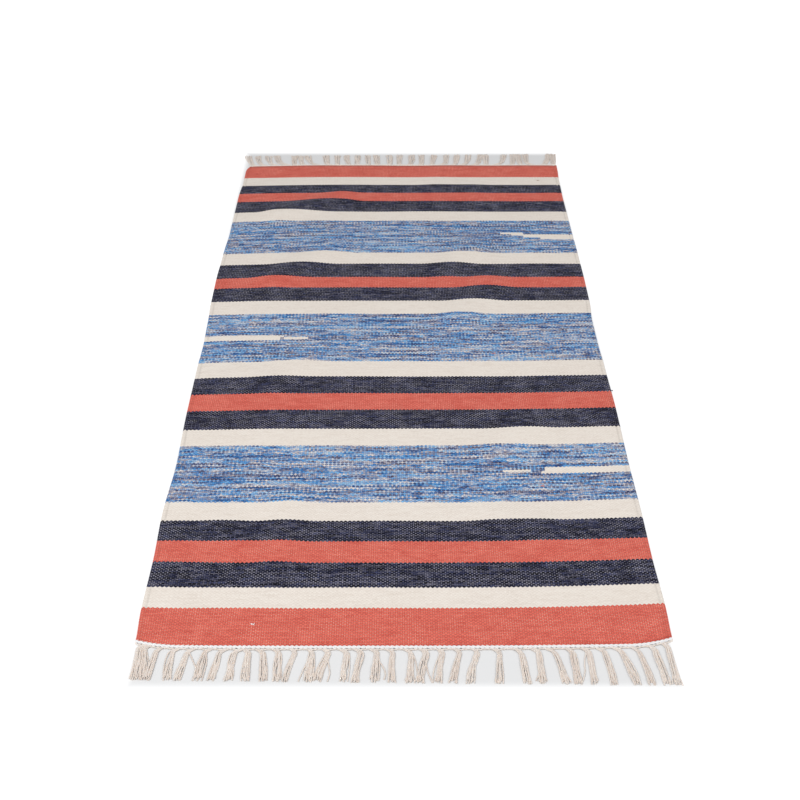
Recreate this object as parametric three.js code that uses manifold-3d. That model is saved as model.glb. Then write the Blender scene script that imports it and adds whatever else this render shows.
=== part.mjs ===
// A flat-woven cotton kilim lying on the floor: one striped, weft-faced panel with a few low ripples, and at
// each end a twined cord, a ridge of turned-over warps, and the warp ends left loose as a fringe of tassels.
// Millimetres. X runs along the weft, Y along the warp with the near end at -Y, and Z is up from the floor.
import * as THREE from 'three';
import { mergeVertices } from 'three/addons/utils/BufferGeometryUtils.js';
import Module from 'manifold-3d';

const wasm = await Module();
wasm.setup();

// Driving sizes
const PANEL_WIDTH = 700;
const CLOTH_THICKNESS = 3.5;
const EDGE_GAP = 0.3; // between the panel's last weft and the cord, and between the cord and the ridge
const CORD_DEPTH = 5.2; // of the twined cord, along the warp
const CORD_HEIGHT = 4.4;
const RIDGE_DEPTH = 2.4; // of the turned-over warps that hold the tassels, along the warp
const RIDGE_HEIGHT = 3.4;
const FRINGE_LENGTH = 59; // longest strand, from the ridge to its cut tip
const STRAND_WIDTH = 2.2;
const STRAND_HEIGHT = 2.6;
const STRANDS_PER_TASSEL = 4;
const STRAND_ROOT_PITCH = 2.4; // between the strands of one tassel, at the ridge
const STRAND_TIP_PITCH = 2.5; // and at the tips, where a tassel fans out
const STRAND_ROOT_BITE = 1.6; // how far a strand's root runs into the ridge
const STRAND_STEPS = 3;
const STRAND_SHORTFALL = 5; // the shortest strand ends this far before the longest
const COLUMNS = 22; // facets across the weft
const ROW_PITCH = 38; // longest facet along the warp

// Yarns, by the colour that each one shows in the web
const YARNS = {
  coral: 0xd1675a,
  cream: 0xe6ddd2,
  navy: 0x3a3d52,
  blue: 0x7d97c2, // a blue, grey and navy mixture
  ecru: 0xe2d7cb, // the undyed warp
  white: 0xf1efec, // the twined cord
};

// Weft stripes from the near end to the far end
const STRIPES = [
  { yarn: 'coral', width: 64 },
  { yarn: 'cream', width: 37 },
  { yarn: 'navy', width: 47 },
  { yarn: 'coral', width: 43 },
  { yarn: 'navy', width: 43 },
  { yarn: 'cream', width: 39 },
  { yarn: 'blue', width: 134 },
  { yarn: 'cream', width: 42 },
  { yarn: 'navy', width: 49 },
  { yarn: 'coral', width: 46 },
  { yarn: 'navy', width: 48 },
  { yarn: 'cream', width: 45 },
  { yarn: 'blue', width: 148 },
  { yarn: 'cream', width: 45 },
  { yarn: 'navy', width: 48 },
  { yarn: 'coral', width: 39 },
  { yarn: 'navy', width: 49 },
  { yarn: 'cream', width: 42 },
  { yarn: 'blue', width: 134 },
  { yarn: 'cream', width: 40 },
  { yarn: 'navy', width: 47 },
  { yarn: 'coral', width: 36 },
  { yarn: 'navy', width: 38 },
  { yarn: 'cream', width: 38 },
  { yarn: 'coral', width: 59 },
];
const PANEL_LENGTH = STRIPES.reduce((sum, stripe) => sum + stripe.width, 0);

// Hand-woven unevenness. At each distance along the warp from the near end, how far each selvedge stands out
// from its straight line, and how far the weft drifts towards the far end on its way to that selvedge.
const SELVEDGES = [
  { along: 0, leftOut: -3, rightOut: -1, leftDrift: 2, rightDrift: 4 },
  { along: 60, leftOut: -0.7, rightOut: 0.5, leftDrift: 1, rightDrift: 8 },
  { along: 150, leftOut: -1.5, rightOut: -1.3, leftDrift: 2.5, rightDrift: 8 },
  { along: 250, leftOut: 1, rightOut: -0.5, leftDrift: 0.5, rightDrift: 8.5 },
  { along: 360, leftOut: -3, rightOut: -1.5, leftDrift: -1, rightDrift: 8 },
  { along: 500, leftOut: -0.5, rightOut: -0.3, leftDrift: -5, rightDrift: 7 },
  { along: 620, leftOut: -0.5, rightOut: -2, leftDrift: -7, rightDrift: 5 },
  { along: 690, leftOut: -2, rightOut: -3.8, leftDrift: -6, rightDrift: 5 },
  { along: 760, leftOut: -0.5, rightOut: -4, leftDrift: -4, rightDrift: 5 },
  { along: 830, leftOut: 2, rightOut: 0, leftDrift: -5, rightDrift: 3.5 },
  { along: 920, leftOut: 2.6, rightOut: 0.6, leftDrift: -8, rightDrift: 2 },
  { along: 1010, leftOut: 0.3, rightOut: 0, leftDrift: -6, rightDrift: 0 },
  { along: 1100, leftOut: -3, rightOut: -1.3, leftDrift: -8, rightDrift: 0 },
  { along: 1250, leftOut: -3.5, rightOut: -2.3, leftDrift: -6, rightDrift: 1 },
  { along: 1330, leftOut: -7, rightOut: -1.2, leftDrift: -6, rightDrift: 1 },
  { along: 1385, leftOut: -7, rightOut: 1, leftDrift: -6.8, rightDrift: 1 },
  { along: 1400, leftOut: -13, rightOut: 1.5, leftDrift: -7, rightDrift: 1 },
];
const LEFT_DRIFT_START = 0.4; // share of the half width at which the weft starts to drift
const RIGHT_DRIFT_START = 0.15;
const DRIFT_POWER = 1.9;

// How far the last wefts are drawn towards the far end at each corner of the near end, and how far that
// reaches along the weft and the warp
const NEAR_CORNERS = { left: 8, right: 10, acrossReach: 60, alongReach: 70 };

// Ripples where the cloth stands off the floor: the two ends of each ridge, given across from the rug's middle
// and along from its near end, how far its flanks reach, and its height
const RIPPLES = [
  { across: -125, along: 1242, acrossEnd: -255, alongEnd: 1172, reach: 52, height: 7 },
  { across: 85, along: 1308, acrossEnd: 150, alongEnd: 1298, reach: 60, height: 2 },
  { across: -135, along: 1024, acrossEnd: -245, alongEnd: 912, reach: 54, height: 5 },
  { across: 138, along: 1026, acrossEnd: 90, alongEnd: 948, reach: 56, height: 4.5 },
  { across: 165, along: 892, acrossEnd: 108, alongEnd: 776, reach: 60, height: 5.5 },
  { across: -178, along: 645, acrossEnd: -218, alongEnd: 572, reach: 54, height: 2.5 },
  { across: 202, along: 458, acrossEnd: 142, alongEnd: 396, reach: 54, height: 3.5 },
  { across: -164, along: 288, acrossEnd: -178, alongEnd: 155, reach: 46, height: 3.2 },
  { across: -262, along: 236, acrossEnd: -225, alongEnd: 190, reach: 42, height: 1.8 },
  { across: 136, along: 242, acrossEnd: 194, alongEnd: 224, reach: 50, height: 3 },
];

// Cross-sections of the cord and the ridge: shares of their depth, outwards, and of their height
const CORD_PROFILE = [
  { out: 0, height: 0.75 },
  { out: 0.5, height: 1 },
  { out: 1, height: 0.75 },
];
const RIDGE_PROFILE = [
  { out: 0, height: 0.82 },
  { out: 0.5, height: 1 },
  { out: 1, height: 0.82 },
];

// The tassels are cut askew: how far their tips fall short of the longest at each selvedge
const TIP_TRIM = { left: 9, right: 0 };

// Each tassel's root across the rug, and how far its tip leans towards +X
const NEAR_TASSELS = [
  { root: -338.5, lean: 3.5 },
  { root: -317, lean: -5.5 },
  { root: -297, lean: -1 },
  { root: -277.5, lean: -7.5 },
  { root: -255, lean: -4.5 },
  { root: -236, lean: -4.5 },
  { root: -215.5, lean: -6 },
  { root: -199, lean: -0.5 },
  { root: -181, lean: 4.5 },
  { root: -160, lean: 0 },
  { root: -137.5, lean: -11.5 },
  { root: -116, lean: -5 },
  { root: -95, lean: -12.5 },
  { root: -72.5, lean: -3.5 },
  { root: -54, lean: -7.5 },
  { root: -34, lean: -3 },
  { root: -13, lean: -2.5 },
  { root: 9.5, lean: -3 },
  { root: 30, lean: -10.5 },
  { root: 51, lean: -8 },
  { root: 73.5, lean: -12.5 },
  { root: 97, lean: -15 },
  { root: 124, lean: -5 },
  { root: 150, lean: 4.5 },
  { root: 173.5, lean: 0.5 },
  { root: 192, lean: 12 },
  { root: 216.5, lean: 2 },
  { root: 237.5, lean: 1 },
  { root: 257.5, lean: 6 },
  { root: 278.5, lean: 12.5 },
  { root: 301, lean: 9.5 },
  { root: 323, lean: 7 },
  { root: 341, lean: 1 },
];
const FAR_TASSELS = [
  { root: -329.5, lean: -15 },
  { root: -311, lean: -12 },
  { root: -288, lean: -11.5 },
  { root: -262.5, lean: -17.5 },
  { root: -237.5, lean: -3 },
  { root: -218.5, lean: -9.5 },
  { root: -197, lean: -14 },
  { root: -163, lean: -5.5 },
  { root: -140.5, lean: -2.5 },
  { root: -115, lean: -7 },
  { root: -97.5, lean: 0.5 },
  { root: -71.5, lean: -1.5 },
  { root: -50.5, lean: -3.5 },
  { root: -23, lean: -1 },
  { root: -1.5, lean: 0 },
  { root: 22.5, lean: 4 },
  { root: 48, lean: 2 },
  { root: 71.5, lean: 6 },
  { root: 99, lean: 7.5 },
  { root: 122.5, lean: 8 },
  { root: 145, lean: 11 },
  { root: 172, lean: 12 },
  { root: 193.5, lean: 1 },
  { root: 224, lean: 13 },
  { root: 252, lean: 4 },
  { root: 272, lean: -4.5 },
  { root: 286.5, lean: -1.5 },
  { root: 324, lean: 14.5 },
  { root: 345, lean: 4.5 },
];

// A value between the rows of a table that has an "along" column
function alongTable(table, column, along) {
  const next = Math.max(1, table.findIndex((row) => row.along >= along));
  const [low, high] = [table[next - 1], table[next]];
  const share = THREE.MathUtils.smoothstep(along, low.along, high.along);
  return THREE.MathUtils.lerp(low[column], high[column], share);
}

// Where a point of the web lies in plan: side runs from -1 at the left selvedge to 1 at the right one
function webPoint(side, along) {
  const isLeft = side < 0;
  const out = alongTable(SELVEDGES, isLeft ? 'leftOut' : 'rightOut', along);
  const drift = alongTable(SELVEDGES, isLeft ? 'leftDrift' : 'rightDrift', along);
  const start = isLeft ? LEFT_DRIFT_START : RIGHT_DRIFT_START;
  const share = Math.max(0, (Math.abs(side) - start) / (1 - start));
  const { left, right, acrossReach, alongReach } = NEAR_CORNERS;
  const fromSide = Math.max(0, 1 - ((1 - Math.abs(side)) * PANEL_WIDTH) / 2 / acrossReach);
  const fromEnd = Math.max(0, 1 - along / alongReach);
  const pull = (isLeft ? left : right) * fromSide ** 2 * fromEnd;
  return {
    x: side * (PANEL_WIDTH / 2 + out * side * side),
    y: along - PANEL_LENGTH / 2 + drift * share ** DRIFT_POWER + pull,
  };
}

// Height of the cloth's underside above the floor
function rippleLift(x, y) {
  const point = new THREE.Vector3(x, y, 0);
  const nearest = new THREE.Vector3();
  const ridge = new THREE.Line3();
  let lift = 0;
  for (const ripple of RIPPLES) {
    ridge.start.set(ripple.across, ripple.along - PANEL_LENGTH / 2, 0);
    ridge.end.set(ripple.acrossEnd, ripple.alongEnd - PANEL_LENGTH / 2, 0);
    ridge.closestPointToPoint(point, true, nearest);
    const share = Math.min(1, point.distanceTo(nearest) / ripple.reach);
    lift += ripple.height * (0.5 + 0.5 * Math.cos(Math.PI * share));
  }
  return lift;
}

// Columns of the web, as sides from -1 to 1
const SIDES = Array.from({ length: COLUMNS + 1 }, (_, i) => (2 * i) / COLUMNS - 1);

// A closed skin over a row of rings. A ring is a row of top points and then, coming back, as many bottom
// points, clockwise as seen along the row. Each band between two rings can have its own colour.
function loft(rings, bandColours = []) {
  const size = rings[0].length;
  const points = [];
  const colours = [];
  const addQuad = (a, b, c, d, colour) => {
    for (const corner of [a, b, c, a, c, d]) {
      points.push(corner);
      if (colour) colours.push(colour.r, colour.g, colour.b);
    }
  };
  for (let k = 0; k + 1 < rings.length; k += 1) {
    for (let i = 0; i < size; i += 1) {
      const j = (i + 1) % size;
      addQuad(rings[k][i], rings[k][j], rings[k + 1][j], rings[k + 1][i], bandColours[k]);
    }
  }
  const first = rings[0];
  const last = rings[rings.length - 1];
  for (let i = 0; i + 1 < size / 2; i += 1) {
    const [under, underNext] = [size - 1 - i, size - 2 - i];
    addQuad(first[under], first[underNext], first[i + 1], first[i], bandColours[0]);
    addQuad(last[i], last[i + 1], last[underNext], last[under], bandColours[rings.length - 2]);
  }
  const geometry = new THREE.BufferGeometry().setFromPoints(points);
  if (colours.length) geometry.setAttribute('color', new THREE.Float32BufferAttribute(colours, 3));
  geometry.computeVertexNormals();
  return geometry;
}

// A closed geometry as a manifold-3d solid
function toSolid(geometry) {
  const bare = new THREE.BufferGeometry().setAttribute('position', geometry.getAttribute('position'));
  bare.setIndex(geometry.index);
  const merged = mergeVertices(bare);
  return new wasm.Manifold(
    new wasm.Mesh({
      numProp: 3,
      vertProperties: merged.attributes.position.array,
      triVerts: new Uint32Array(merged.index.array),
    }),
  );
}

// A manifold-3d solid as a flat-shaded geometry
function toGeometry(solid) {
  const mesh = solid.getMesh();
  const geometry = new THREE.BufferGeometry();
  geometry.setAttribute('position', new THREE.BufferAttribute(mesh.vertProperties, 3));
  geometry.setIndex(new THREE.BufferAttribute(mesh.triVerts, 1));
  const faceted = geometry.toNonIndexed();
  faceted.computeVertexNormals();
  return faceted;
}

// The web across one weft: its top from the left selvedge to the right one, then its underside
function webRing(along) {
  const plan = SIDES.map((side) => webPoint(side, along));
  const skin = (height) => plan.map(({ x, y }) => new THREE.Vector3(x, y, rippleLift(x, y) + height));
  return [...skin(CLOTH_THICKNESS), ...skin(0).reverse()];
}

// The striped panel, one woven sheet
function wovenPanel() {
  const rings = [webRing(0)];
  const bandColours = [];
  let along = 0;
  for (const { yarn, width } of STRIPES) {
    const rows = Math.ceil(width / ROW_PITCH);
    for (let row = 1; row <= rows; row += 1) {
      rings.push(webRing(along + (width * row) / rows));
      bandColours.push(new THREE.Color(YARNS[yarn]));
    }
    along += width;
  }
  const material = new THREE.MeshStandardMaterial({ vertexColors: true, roughness: 0.95, metalness: 0 });
  const mesh = new THREE.Mesh(loft(rings, bandColours), material);
  mesh.name = 'woven_panel';
  return mesh;
}

// A strip along one end of the web, its inner side this far out from the last weft. Outwards is -Y.
function edgeStrip(edge, inset, depth, height, profile) {
  const rings = edge.map(({ x, y }) => {
    const place = (out, rise) => new THREE.Vector3(x, y - inset - out * depth, rise * height);
    const top = profile.map((point) => place(point.out, point.height));
    const bottom = profile.map((point) => place(point.out, 0)).reverse();
    return [...top, ...bottom];
  });
  return loft(rings);
}

// One strand of a tassel, lying level on the floor from inside the ridge to its tip
function strand(rootX, rootY, offset, lean, length) {
  const section = new THREE.Shape();
  section.moveTo(-STRAND_HEIGHT / 2, -STRAND_WIDTH / 2);
  section.lineTo(STRAND_HEIGHT / 2, -STRAND_WIDTH / 2);
  section.lineTo(STRAND_HEIGHT / 2, STRAND_WIDTH / 2);
  section.lineTo(-STRAND_HEIGHT / 2, STRAND_WIDTH / 2);
  const bend = 0.12 * lean; // the tassel swings out early and straightens towards its tip
  const route = [0, 1 / 3, 2 / 3, 1].map((share) => {
    const pitch = THREE.MathUtils.lerp(STRAND_ROOT_PITCH, STRAND_TIP_PITCH, share);
    const swing = lean * share + bend * Math.sin(Math.PI * share);
    const reach = length * share - STRAND_ROOT_BITE * (1 - share);
    return new THREE.Vector3(rootX + offset * pitch + swing, rootY - reach, STRAND_HEIGHT / 2);
  });
  const extrudePath = new THREE.CatmullRomCurve3(route);
  return toSolid(new THREE.ExtrudeGeometry(section, { steps: STRAND_STEPS, extrudePath }));
}

// Repeatable unevenness from 0 to 1
function unevenness(tassel, place) {
  const wave = Math.sin(12.9898 * (tassel + 1) + 78.233 * (place + 1)) * 43.758;
  return wave - Math.floor(wave);
}

// The edge's place in Y at a given X
function edgeAt(edge, x) {
  const next = Math.max(1, edge.findIndex((point) => point.x >= x));
  const [low, high] = [edge[next - 1], edge[next]];
  return THREE.MathUtils.mapLinear(x, low.x, high.x, low.y, high.y);
}

// The cord twined along one end, in white yarn
function endCord(edge) {
  const geometry = edgeStrip(edge, EDGE_GAP, CORD_DEPTH, CORD_HEIGHT, CORD_PROFILE);
  const material = new THREE.MeshStandardMaterial({ color: YARNS.white, roughness: 0.9, metalness: 0 });
  return new THREE.Mesh(geometry, material);
}

// The ridge beyond the cord with its tassels, which stand apart but for their roots. The tassels and the
// two trims run from low X to high X.
function endFringe(edge, tassels, [lowTrim, highTrim]) {
  const ridgeInset = EDGE_GAP + CORD_DEPTH + EDGE_GAP;
  const rootInset = ridgeInset + RIDGE_DEPTH;
  const [lowX, highX] = [edge[0].x, edge[edge.length - 1].x];
  const tipLine = Math.min(...edge.map(({ y }) => y)) - rootInset - FRINGE_LENGTH;
  const pieces = [toSolid(edgeStrip(edge, ridgeInset, RIDGE_DEPTH, RIDGE_HEIGHT, RIDGE_PROFILE))];
  tassels.forEach(({ root, lean }, tassel) => {
    const trim = THREE.MathUtils.mapLinear(root, lowX, highX, lowTrim, highTrim);
    for (let place = 0; place < STRANDS_PER_TASSEL; place += 1) {
      const offset = place - (STRANDS_PER_TASSEL - 1) / 2;
      const rootY = edgeAt(edge, root + offset * STRAND_ROOT_PITCH) - rootInset;
      const length = rootY - tipLine - trim - STRAND_SHORTFALL * unevenness(tassel, place);
      pieces.push(strand(root, rootY, offset, lean, length));
    }
  });
  const material = new THREE.MeshStandardMaterial({ color: YARNS.ecru, roughness: 0.95, metalness: 0 });
  return new THREE.Mesh(toGeometry(wasm.Manifold.union(pieces)), material);
}

// Both pieces of one end, facing -Y
function endFinish(name, edge, tassels, trims) {
  const cord = endCord(edge);
  const fringe = endFringe(edge, tassels, trims);
  cord.name = `${name}_cord`;
  fringe.name = `${name}_fringe`;
  return new THREE.Group().add(cord, fringe);
}

const nearEdge = SIDES.map((side) => webPoint(side, 0));
const nearEnd = endFinish('near', nearEdge, NEAR_TASSELS, [TIP_TRIM.left, TIP_TRIM.right]);

// The far end is built facing -Y like the near one, then turned round to its place
const farEdge = SIDES.map((side) => webPoint(side, PANEL_LENGTH));
const turnedEdge = farEdge.map(({ x, y }) => ({ x: -x, y: -y })).reverse();
const turnedTassels = FAR_TASSELS.map(({ root, lean }) => ({ root: -root, lean: -lean })).reverse();
const farEnd = endFinish('far', turnedEdge, turnedTassels, [TIP_TRIM.right, TIP_TRIM.left]);
farEnd.rotation.z = Math.PI;

const kilim = new THREE.Group().add(wovenPanel(), nearEnd, farEnd);

export default kilim;
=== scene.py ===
"""A striped cotton kilim with a twined cord and loose warp tassels at each end, lying on a pale floor.

The tables are in millimetres and the meshes in metres. X runs along the weft, Y along the warp with the near
end at -Y, and Z is up from the floor.
"""

from __future__ import annotations

import logging
import math
from dataclasses import dataclass, replace
from enum import Enum

import bpy
import numpy as np
from mathutils import Matrix, Vector

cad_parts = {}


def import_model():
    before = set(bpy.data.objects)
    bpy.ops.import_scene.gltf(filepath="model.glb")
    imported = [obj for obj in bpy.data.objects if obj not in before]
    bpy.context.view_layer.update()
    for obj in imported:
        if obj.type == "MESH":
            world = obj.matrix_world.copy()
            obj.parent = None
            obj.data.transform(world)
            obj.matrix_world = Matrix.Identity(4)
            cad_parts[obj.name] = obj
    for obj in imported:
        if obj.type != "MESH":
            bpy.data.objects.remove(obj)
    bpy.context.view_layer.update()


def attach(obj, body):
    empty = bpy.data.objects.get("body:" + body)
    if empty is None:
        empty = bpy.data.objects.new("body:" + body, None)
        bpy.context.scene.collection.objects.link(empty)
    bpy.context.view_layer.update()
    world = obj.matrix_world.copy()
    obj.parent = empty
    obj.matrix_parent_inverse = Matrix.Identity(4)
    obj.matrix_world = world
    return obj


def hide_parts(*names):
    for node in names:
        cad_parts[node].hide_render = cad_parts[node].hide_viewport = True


log = logging.getLogger("kilim")

MM = 0.001
BODY = "root"
WEAVE_ATTRIBUTE = "weave"
TONE_ATTRIBUTE = "tone"
PLY_ATTRIBUTE = "ply"
FIBRE_SCALE = 900.0  # fibres to a metre

Colour = tuple[int, int, int]
Shades = tuple[tuple[float, Colour], ...]
Socket = bpy.types.NodeSocket


class Yarn(Enum):
    """The web's dyed wefts, in the order of its material slots."""

    CORAL = 0
    CREAM = 1
    NAVY = 2
    BLUE = 3


class Fibre(Enum):
    """The colours of the stray fibres that are caught in the web."""

    WHITE = "white"
    CORAL = "coral"
    BROWN = "brown"
    NAVY = "navy"


class End(Enum):
    """The rug's two ends, each with its outward direction along Y."""

    NEAR = -1
    FAR = 1


class Selvedge(Enum):
    """The rug's two sides, each with its outward direction along X."""

    LEFT = -1
    RIGHT = 1


@dataclass(frozen=True)
class Stripe:
    """One weft stripe: its yarn and its width along the warp."""

    yarn: Yarn
    width: float


@dataclass(frozen=True)
class Inlay:
    """A run of cream weft laid into a blue stripe, in from one selvedge.

    The run covers the distances start to stop from the selvedge, and low to high along the warp.
    """

    selvedge: Selvedge
    start: float
    stop: float
    low: float
    high: float


@dataclass(frozen=True)
class Station:
    """How the web lies at one distance along the warp.

    Each selvedge stands out from its straight line by out, and the weft drifts by drift towards the far end on
    its way to that selvedge.
    """

    along: float
    left_out: float
    right_out: float
    left_drift: float
    right_drift: float


@dataclass(frozen=True)
class Corner:
    """How far one corner's last wefts are drawn in towards the rug's middle."""

    selvedge: Selvedge
    end: End
    pull: float


@dataclass(frozen=True)
class Ripple:
    """A soft ridge that stands off the floor, given by its two ends, the reach of its flanks and its height."""

    across: float
    along: float
    across_end: float
    along_end: float
    reach: float
    height: float


@dataclass(frozen=True)
class Tassel:
    """One tassel: its root's place across the rug, and how far its tip leans towards +X.

    Strays are the leans of the single yarns that leave it. The curl says how widely it leaves the ridge, from
    its +X side if positive.
    """

    root: float
    lean: float
    strays: tuple[float, ...] = ()
    curl: float = -1.0


@dataclass(frozen=True)
class Softbox:
    """A square soft light: where it hangs, its side in metres and its power in watts."""

    name: str
    place: tuple[float, float, float]
    side: float
    power: float


STRIPES = (
    Stripe(Yarn.CORAL, 64),
    Stripe(Yarn.CREAM, 37),
    Stripe(Yarn.NAVY, 47),
    Stripe(Yarn.CORAL, 43),
    Stripe(Yarn.NAVY, 43),
    Stripe(Yarn.CREAM, 39),
    Stripe(Yarn.BLUE, 134),
    Stripe(Yarn.CREAM, 42),
    Stripe(Yarn.NAVY, 49),
    Stripe(Yarn.CORAL, 46),
    Stripe(Yarn.NAVY, 48),
    Stripe(Yarn.CREAM, 45),
    Stripe(Yarn.BLUE, 148),
    Stripe(Yarn.CREAM, 45),
    Stripe(Yarn.NAVY, 48),
    Stripe(Yarn.CORAL, 39),
    Stripe(Yarn.NAVY, 49),
    Stripe(Yarn.CREAM, 42),
    Stripe(Yarn.BLUE, 134),
    Stripe(Yarn.CREAM, 40),
    Stripe(Yarn.NAVY, 47),
    Stripe(Yarn.CORAL, 36),
    Stripe(Yarn.NAVY, 38),
    Stripe(Yarn.CREAM, 38),
    Stripe(Yarn.CORAL, 59),
)

INLAYS = (
    Inlay(Selvedge.RIGHT, 0, 131, 335, 350),
    Inlay(Selvedge.RIGHT, 131, 139, 335, 340),
    Inlay(Selvedge.RIGHT, 152, 196, 340, 345),
    Inlay(Selvedge.LEFT, 0, 136, 700, 715),
    Inlay(Selvedge.LEFT, 136, 141, 710, 715),
    Inlay(Selvedge.LEFT, 141, 184, 705, 710),
    Inlay(Selvedge.RIGHT, 0, 68, 1065, 1085),
    Inlay(Selvedge.RIGHT, 68, 100, 1070, 1085),
    Inlay(Selvedge.RIGHT, 100, 126, 1080, 1090),
    Inlay(Selvedge.RIGHT, 126, 147, 1085, 1090),
)

# Where stray fibres lie, across from the rug's middle and along from its near end
STRAY_PLACES = {
    Fibre.WHITE: ((-198, 35),),
    Fibre.CORAL: ((211, 310), (161, 659), (-274, 764)),
    Fibre.BROWN: ((302, 1326),),
    Fibre.NAVY: ((350, 551),),
}

STATIONS = (
    Station(0, -3, -1, 2, 4),
    Station(60, -0.7, 0.5, 1, 8),
    Station(150, -1.5, -1.3, 2.5, 8),
    Station(250, 1, -0.5, 0.5, 8.5),
    Station(360, -3, -1.5, -1, 8),
    Station(500, -0.5, -0.3, -5, 7),
    Station(620, -0.5, -2, -7, 5),
    Station(690, -2, -3.8, -6, 5),
    Station(760, -0.5, -4, -4, 5),
    Station(830, 2, 0, -5, 3.5),
    Station(920, 2.6, 0.6, -8, 2),
    Station(1010, 0.3, 0, -6, 0),
    Station(1100, -3, -1.3, -8, 0),
    Station(1250, -3.5, -2.3, -6, 1),
    Station(1330, -7, -1.2, -6, 1),
    Station(1385, -7, 1, -6.8, 1),
    Station(1400, -13, 1.5, -7, 1),
)

CORNERS = (
    Corner(Selvedge.LEFT, End.NEAR, 8),
    Corner(Selvedge.RIGHT, End.NEAR, 10),
)

RIPPLES = (
    Ripple(-125, 1242, -255, 1172, 52, 7),
    Ripple(85, 1308, 150, 1298, 60, 2),
    Ripple(-135, 1024, -245, 912, 54, 5),
    Ripple(138, 1026, 90, 948, 56, 4.5),
    Ripple(165, 892, 108, 776, 60, 5.5),
    Ripple(-178, 645, -218, 572, 54, 2.5),
    Ripple(202, 458, 142, 396, 54, 3.5),
    Ripple(-164, 288, -178, 155, 46, 3.2),
    Ripple(-262, 236, -225, 190, 42, 1.8),
    Ripple(136, 242, 194, 224, 50, 3),
)

TASSELS = {
    End.NEAR: (
        Tassel(-341, 1.5, curl=1.0),
        Tassel(-335.5, 7, curl=1.0),
        Tassel(-317, -5.5, curl=1.0),
        Tassel(-297, -1, curl=1.0),
        Tassel(-277.5, -7.5, (11,), curl=1.0),
        Tassel(-255, -4.5, (-9, 2), curl=1.0),
        Tassel(-236, -4.5, curl=1.0),
        Tassel(-215.5, -6, (2,), curl=1.0),
        Tassel(-199, -0.5),
        Tassel(-181, 4.5),
        Tassel(-160, 0),
        Tassel(-137.5, -11.5),
        Tassel(-116, -5, (-18, 2)),
        Tassel(-95, -12.5, (3,)),
        Tassel(-72.5, -3.5),
        Tassel(-54, -7.5, (-3,)),
        Tassel(-34, -3, (6,)),
        Tassel(-13, -2.5),
        Tassel(9.5, -3, (5,)),
        Tassel(30, -10.5, (3,)),
        Tassel(51, -8),
        Tassel(73.5, -12.5, (-5,)),
        Tassel(97, -15),
        Tassel(124, -5),
        Tassel(150, 4.5),
        Tassel(173.5, 0.5, (-7,)),
        Tassel(192, 12),
        Tassel(216.5, 2),
        Tassel(237.5, 1, (-14,)),
        Tassel(257.5, 6),
        Tassel(278.5, 12.5),
        Tassel(301, 9.5),
        Tassel(323, 7),
        Tassel(341, 1),
    ),
    End.FAR: (
        Tassel(-329.5, -15, curl=1.4),
        Tassel(-311, -12, curl=1.9),
        Tassel(-288, -11.5, curl=2.0),
        Tassel(-262.5, -17.5, (-24,), curl=2.2),
        Tassel(-237.5, -3, curl=1.0),
        Tassel(-218.5, -9.5, curl=1.0),
        Tassel(-197, -14, curl=2.2),
        Tassel(-163, -5.5, curl=1.4),
        Tassel(-140.5, -2.5),
        Tassel(-115, -7),
        Tassel(-97.5, 0.5, curl=1.0),
        Tassel(-71.5, -1.5),
        Tassel(-50.5, -3.5),
        Tassel(-23, -1),
        Tassel(-1.5, 0, curl=1.0),
        Tassel(22.5, 4, (12,)),
        Tassel(48, 2),
        Tassel(71.5, 6),
        Tassel(99, 7.5, curl=-1.5),
        Tassel(122.5, 8),
        Tassel(145, 11, curl=-1.5),
        Tassel(172, 12, curl=-1.5),
        Tassel(193.5, 1),
        Tassel(224, 13, curl=-2.0),
        Tassel(252, 4, curl=-0.6),
        Tassel(272, -4.5, curl=1.2),
        Tassel(286.5, -1.5, curl=1.8),
        Tassel(324, 14.5),
        Tassel(345, 4.5),
    ),
}

SOFTBOXES = (
    Softbox("key_softbox", (-1.5, -1.6, 2.6), 1.8, 54.0),
    Softbox("fill_softbox", (1.9, -1.2, 2.4), 1.8, 27.0),
)

# What differs between the fringes of the two ends
FRINGE_SIZES = {
    End.NEAR: {"yarns": 11, "left_trim": 9 * MM},
    End.FAR: {"yarns": 15, "left_trim": 13 * MM},
}


def linear(colour: Colour) -> tuple[float, float, float, float]:
    """Turns a display colour into the linear colour that shaders use.

    Args:
        colour: red, green and blue from 0 to 255.

    Returns:
        Linear red, green and blue with full alpha.
    """
    shares = (channel / 255 for channel in colour)
    red, green, blue = (c / 12.92 if c <= 0.04045 else ((c + 0.055) / 1.055) ** 2.4 for c in shares)
    return red, green, blue, 1.0


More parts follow.
